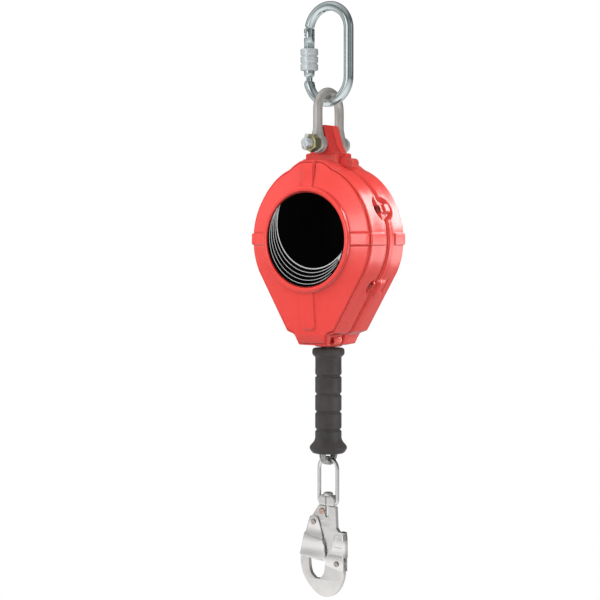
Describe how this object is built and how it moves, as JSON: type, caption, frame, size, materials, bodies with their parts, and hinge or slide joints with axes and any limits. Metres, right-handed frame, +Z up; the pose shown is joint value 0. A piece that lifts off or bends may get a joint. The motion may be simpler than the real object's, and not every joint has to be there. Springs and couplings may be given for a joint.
{
  "type": "self retracting lifeline",
  "caption": "Hanging wire-rope fall arrester: teardrop red casing with carabiner and shackle on top, hand grip, swivel link and self-locking snap hook below.",
  "frame": {"origin": "bearing point of the anchor carabiner, on the inside of its top bow", "axes": "+Z up against the pull of the lifeline, front of the casing towards -Y, drum shaft along Y, +X to the right seen from the front"},
  "size_m": [0.1512, 0.0827, 0.6148],
  "materials": {
    "shell": "satin red moulded nylon",
    "plate": "gloss black with thin silver arcs",
    "zinc": "bright zinc plate",
    "yellow_zinc": "yellow passivated zinc",
    "satin_steel": "satin forged steel",
    "stamped_steel": "tumbled stamped steel",
    "copper": "copper-toned rivet",
    "machined": "machined steel",
    "drum_alloy": "cast and turned aluminium",
    "lining": "friction lining",
    "bronze": "sintered bronze",
    "rope": "galvanised wire rope",
    "grip": "matt charcoal rubber",
    "black_steel": "blackened socket screws",
    "nylon": "black nylon"
  },
  "bodies": {
    "casing": {"front_shell": "shell", "rear_shell": "shell", "front_plate": "plate", "rear_plate": "plate", "case_screw_1_left": "black_steel", "case_screw_1_right": "black_steel", "case_screw_2_left": "black_steel", "case_screw_2_right": "black_steel", "case_screw_3_left": "black_steel", "case_screw_3_right": "black_steel", "case_screw_4_left": "black_steel", "case_screw_4_right": "black_steel", "lug_block": "machined", "front_frame_plate": "machined", "rear_frame_plate": "machined", "frame_bolt_left": "machined", "frame_bolt_right": "machined", "main_shaft": "machined", "shaft_nut_front": "machined", "shaft_nut_rear": "machined", "ratchet_ring": "machined", "brake_lining_front": "lining", "brake_lining_rear": "lining", "brake_pressure_ring": "machined", "brake_bolt_1": "machined", "brake_bolt_2": "machined", "brake_bolt_3": "machined", "cable_outlet_bush": "nylon", "cable_lead": "rope"},
    "drum": {"drum": "drum_alloy", "wound_cable": "rope", "drum_bush_front": "bronze", "drum_bush_rear": "bronze", "spring_cover": "machined", "power_spring": "machined", "pawl_pin_a": "machined", "pawl_pin_b": "machined"},
    "pawl_a": {"pawl_a": "machined"},
    "pawl_b": {"pawl_b": "machined"},
    "shackle": {"shackle_bow": "satin_steel", "shackle_bolt": "zinc", "shackle_nut": "yellow_zinc", "split_pin": "zinc"},
    "carabiner": {"carabiner_body": "zinc", "gate_rivet": "zinc"},
    "gate": {"carabiner_gate": "zinc"},
    "sleeve": {"screw_sleeve": "zinc"},
    "lifeline": {"wire_rope": "rope", "rubber_grip": "grip", "ferrule": "machined", "rope_eye": "rope", "thimble": "stamped_steel"},
    "link": {"swivel_link": "stamped_steel"},
    "hook": {"hook_plate": "stamped_steel", "swivel_stud": "stamped_steel", "hook_gate_rivet": "stamped_steel", "lever_rivet": "stamped_steel", "body_rivet": "copper"},
    "hook_gate": {"hook_gate": "stamped_steel"},
    "lever": {"lock_lever": "stamped_steel"}
  },
  "joints": [
    {"name": "lifeline_payout", "type": "slide", "parent": "casing", "child": "lifeline", "axis": [0, 0, -1], "range_m": [0, 10], "stiffness_N_per_m": 5, "springref_m": -6, "deforming": ["wire_rope"]},
    {"name": "drum_spin", "type": "hinge", "parent": "casing", "child": "drum", "pos_m": [0, 0, -0.235], "axis": [0, 1, 0], "range_deg": [0, 13680]},
    {"name": "pawl_a_swing", "type": "hinge", "parent": "drum", "child": "pawl_a", "pos_m": [0, -0.017, -0.207], "axis": [0, -1, 0], "range_deg": [0, 24], "stiffness_Nm_per_rad": 0.02, "springref_deg": -28.65},
    {"name": "pawl_b_swing", "type": "hinge", "parent": "drum", "child": "pawl_b", "pos_m": [0, -0.017, -0.263], "axis": [0, -1, 0], "range_deg": [0, 24], "stiffness_Nm_per_rad": 0.02, "springref_deg": -28.65},
    {"name": "shackle_swing", "type": "hinge", "parent": "casing", "child": "shackle", "pos_m": [0, 0, -0.137], "axis": [0, 1, 0], "range_deg": [-80, 80], "stiffness_Nm_per_rad": 0.8},
    {"name": "carabiner_swing", "type": "hinge", "parent": "shackle", "child": "carabiner", "pos_m": [0, 0, -0.0935], "axis": [1, 0, 0], "range_deg": [-80, 80], "stiffness_Nm_per_rad": 0.4},
    {"name": "carabiner_gate_swing", "type": "hinge", "parent": "carabiner", "child": "gate", "pos_m": [-0.0246, 0, -0.073], "axis": [0, 1, 0], "range_deg": [0, 28], "stiffness_Nm_per_rad": 0.1, "springref_deg": -34.38},
    {"name": "sleeve_travel", "type": "slide", "parent": "gate", "child": "sleeve", "axis": [0, 0, 1], "range_m": [0, 0.019], "stiffness_N_per_m": 60},
    {"name": "link_swing", "type": "hinge", "parent": "lifeline", "child": "link", "pos_m": [0, 0, -0.4615], "axis": [1, 0, 0], "range_deg": [-60, 60]},
    {"name": "hook_swivel", "type": "hinge", "parent": "link", "child": "hook", "pos_m": [0, 0, -0.506], "axis": [0, 0, 1], "continuous": true},
    {"name": "hook_gate_swing", "type": "hinge", "parent": "hook", "child": "hook_gate", "pos_m": [-0.0163, 0, -0.5297], "axis": [0, -1, 0], "range_deg": [0, 36], "stiffness_Nm_per_rad": 0.05, "springref_deg": -34.38},
    {"name": "lock_lever_press", "type": "hinge", "parent": "hook", "child": "lever", "pos_m": [0.0131, 0, -0.5708], "axis": [0, -1, 0], "range_deg": [0, 8], "stiffness_Nm_per_rad": 0.2, "springref_deg": -17.19}
  ],
  "couplings": [
    {"joint": "drum_spin", "follows": "lifeline_payout", "rad_per_m": 23.876}
  ]
}
